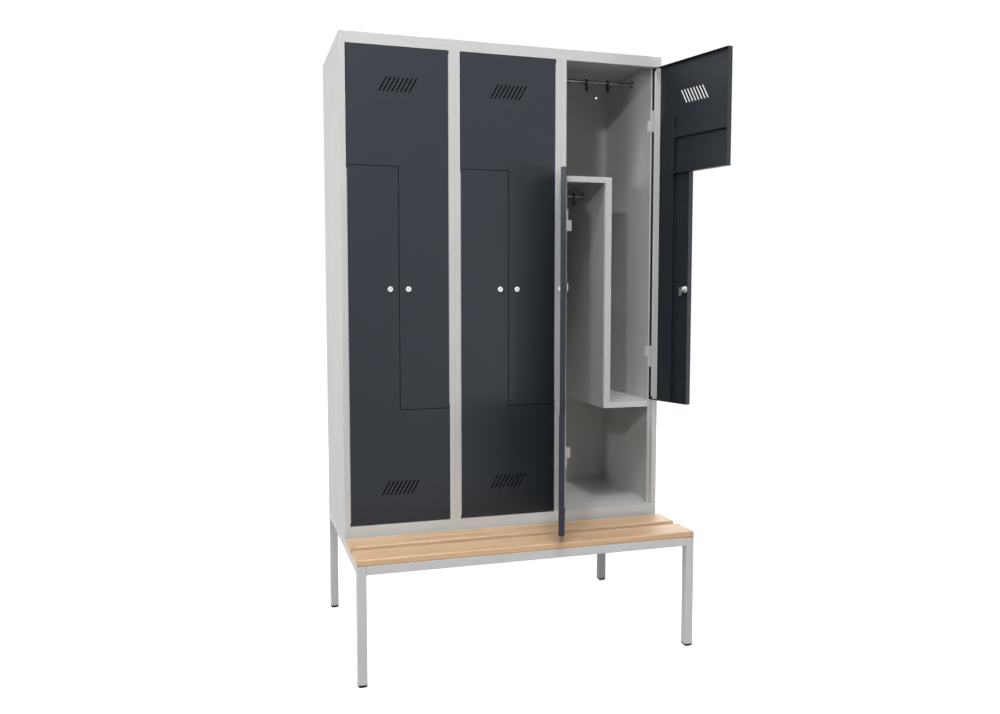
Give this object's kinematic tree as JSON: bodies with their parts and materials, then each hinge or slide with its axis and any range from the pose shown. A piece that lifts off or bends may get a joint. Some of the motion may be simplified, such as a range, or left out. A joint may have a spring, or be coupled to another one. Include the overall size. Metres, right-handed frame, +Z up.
{
  "type": "z-locker with bench",
  "caption": "Sheet steel wardrobe locker with interlocking L-shaped doors, hinged and lockable, on a square-tube underframe with a slatted wooden bench seat in front.",
  "frame": {"origin": "on the floor, at the middle of the rectangle of the four feet", "axes": "+Z up, the doors and the bench face -Y, +X to the right seen from the front"},
  "size_m": [1.2927, 0.8509, 2.15],
  "materials": {
    "body_paint": "light grey powder coat, fine texture, satin",
    "door_paint": "anthracite powder coat, fine texture, satin",
    "chrome": "bright chrome plate",
    "lock_steel": "zinc plated steel",
    "rail_steel": "drawn steel tube",
    "black_plastic": "black moulded plastic, matt",
    "foot_plastic": "black moulded plastic, matt",
    "beech": "clear lacquered pale hardwood with straight grain"
  },
  "bodies": {
    "cabinet": {"back_panel": "body_paint", "bench_cross_rails": "body_paint", "bench_fasteners": "lock_steel", "bench_feet": "foot_plastic", "bench_front_rail": "body_paint", "bench_legs": "body_paint", "bench_side_rails": "body_paint", "bottom_panel": "body_paint", "coat_rails": "rail_steel", "column_partition_1": "body_paint", "column_partition_2": "body_paint", "front_slat": "beech", "hinge_brackets": "body_paint", "hinge_rods": "lock_steel", "left_post": "body_paint", "left_side_panel": "body_paint", "mullion_1": "body_paint", "mullion_2": "body_paint", "rear_slat": "beech", "right_post": "body_paint", "right_side_panel": "body_paint", "strike_plates": "body_paint", "top_panel": "body_paint", "z_divider_1": "body_paint", "z_divider_2": "body_paint", "z_divider_3": "body_paint"},
    "door_1_lower": {"door_1_lower_panel": "door_paint", "door_1_lower_stiffener": "door_paint", "door_1_lower_lock": "chrome"},
    "door_1_lower_cam": {"door_1_lower_cam": "lock_steel"},
    "door_1_upper": {"door_1_upper_panel": "door_paint", "door_1_upper_stiffener": "door_paint", "door_1_upper_lock": "chrome"},
    "door_1_upper_cam": {"door_1_upper_cam": "lock_steel"},
    "hook_1a": {"hook_1a": "black_plastic"},
    "hook_1b": {"hook_1b": "black_plastic"},
    "hook_1c": {"hook_1c": "black_plastic"},
    "door_2_lower": {"door_2_lower_panel": "door_paint", "door_2_lower_stiffener": "door_paint", "door_2_lower_lock": "chrome"},
    "door_2_lower_cam": {"door_2_lower_cam": "lock_steel"},
    "door_2_upper": {"door_2_upper_panel": "door_paint", "door_2_upper_stiffener": "door_paint", "door_2_upper_lock": "chrome"},
    "door_2_upper_cam": {"door_2_upper_cam": "lock_steel"},
    "hook_2a": {"hook_2a": "black_plastic"},
    "hook_2b": {"hook_2b": "black_plastic"},
    "hook_2c": {"hook_2c": "black_plastic"},
    "door_3_lower": {"door_3_lower_panel": "door_paint", "door_3_lower_stiffener": "door_paint", "door_3_lower_lock": "chrome"},
    "door_3_lower_cam": {"door_3_lower_cam": "lock_steel"},
    "door_3_upper": {"door_3_upper_panel": "door_paint", "door_3_upper_stiffener": "door_paint", "door_3_upper_lock": "chrome"},
    "door_3_upper_cam": {"door_3_upper_cam": "lock_steel"},
    "hook_3a": {"hook_3a": "black_plastic"},
    "hook_3b": {"hook_3b": "black_plastic"},
    "hook_3c": {"hook_3c": "black_plastic"}
  },
  "joints": [
    {"name": "door_1_lower_hinge", "type": "hinge", "parent": "cabinet", "child": "door_1_lower", "pos_m": [-0.589, -0.094, 1.282], "axis": [0, 0, -1], "range_deg": [0, 110]},
    {"name": "door_1_lower_lock_turn", "type": "hinge", "parent": "door_1_lower", "child": "door_1_lower_cam", "pos_m": [-0.432, -0.094, 1.282], "axis": [0, 1, 0], "range_deg": [0, 90]},
    {"name": "door_1_upper_hinge", "type": "hinge", "parent": "cabinet", "child": "door_1_upper", "pos_m": [-0.211, -0.094, 1.282], "axis": [0, 0, 1], "range_deg": [0, 88]},
    {"name": "door_1_upper_lock_turn", "type": "hinge", "parent": "door_1_upper", "child": "door_1_upper_cam", "pos_m": [-0.368, -0.094, 1.282], "axis": [0, 1, 0], "range_deg": [0, 90]},
    {"name": "hook_1a_slide", "type": "slide", "parent": "cabinet", "child": "hook_1a", "axis": [1, 0, 0], "range_m": [-0.19, 0.08]},
    {"name": "hook_1b_slide", "type": "slide", "parent": "cabinet", "child": "hook_1b", "axis": [1, 0, 0], "range_m": [-0.08, 0.1]},
    {"name": "hook_1c_slide", "type": "slide", "parent": "cabinet", "child": "hook_1c", "axis": [1, 0, 0], "range_m": [-0.14, 0.028]},
    {"name": "door_2_lower_hinge", "type": "hinge", "parent": "cabinet", "child": "door_2_lower", "pos_m": [-0.189, -0.094, 1.282], "axis": [0, 0, -1], "range_deg": [0, 88]},
    {"name": "door_2_lower_lock_turn", "type": "hinge", "parent": "door_2_lower", "child": "door_2_lower_cam", "pos_m": [-0.032, -0.094, 1.282], "axis": [0, 1, 0], "range_deg": [0, 90]},
    {"name": "door_2_upper_hinge", "type": "hinge", "parent": "cabinet", "child": "door_2_upper", "pos_m": [0.189, -0.094, 1.282], "axis": [0, 0, 1], "range_deg": [0, 66]},
    {"name": "door_2_upper_lock_turn", "type": "hinge", "parent": "door_2_upper", "child": "door_2_upper_cam", "pos_m": [0.032, -0.094, 1.282], "axis": [0, 1, 0], "range_deg": [0, 90]},
    {"name": "hook_2a_slide", "type": "slide", "parent": "cabinet", "child": "hook_2a", "axis": [1, 0, 0], "range_m": [-0.19, 0.08]},
    {"name": "hook_2b_slide", "type": "slide", "parent": "cabinet", "child": "hook_2b", "axis": [1, 0, 0], "range_m": [-0.08, 0.1]},
    {"name": "hook_2c_slide", "type": "slide", "parent": "cabinet", "child": "hook_2c", "axis": [1, 0, 0], "range_m": [-0.14, 0.028]},
    {"name": "door_3_lower_hinge", "type": "hinge", "parent": "cabinet", "child": "door_3_lower", "pos_m": [0.211, -0.094, 1.282], "axis": [0, 0, -1], "range_deg": [-111.6, 0]},
    {"name": "door_3_lower_lock_turn", "type": "hinge", "parent": "door_3_lower", "child": "door_3_lower_cam", "pos_m": [0.1532, -0.23997, 1.282], "axis": [0.9298, -0.3681, 0], "range_deg": [0, 90]},
    {"name": "door_3_upper_hinge", "type": "hinge", "parent": "cabinet", "child": "door_3_upper", "pos_m": [0.589, -0.094, 1.282], "axis": [0, 0, 1], "range_deg": [-105.5, 4.5]},
    {"name": "door_3_upper_lock_turn", "type": "hinge", "parent": "door_3_upper", "child": "door_3_upper_cam", "pos_m": [0.63096, -0.24529, 1.282], "axis": [-0.9636, -0.2672, 0], "range_deg": [0, 90]},
    {"name": "hook_3a_slide", "type": "slide", "parent": "cabinet", "child": "hook_3a", "axis": [1, 0, 0], "range_m": [-0.19, 0.08]},
    {"name": "hook_3b_slide", "type": "slide", "parent": "cabinet", "child": "hook_3b", "axis": [1, 0, 0], "range_m": [-0.08, 0.1]},
    {"name": "hook_3c_slide", "type": "slide", "parent": "cabinet", "child": "hook_3c", "axis": [1, 0, 0], "range_m": [-0.14, 0.028]}
  ]
}
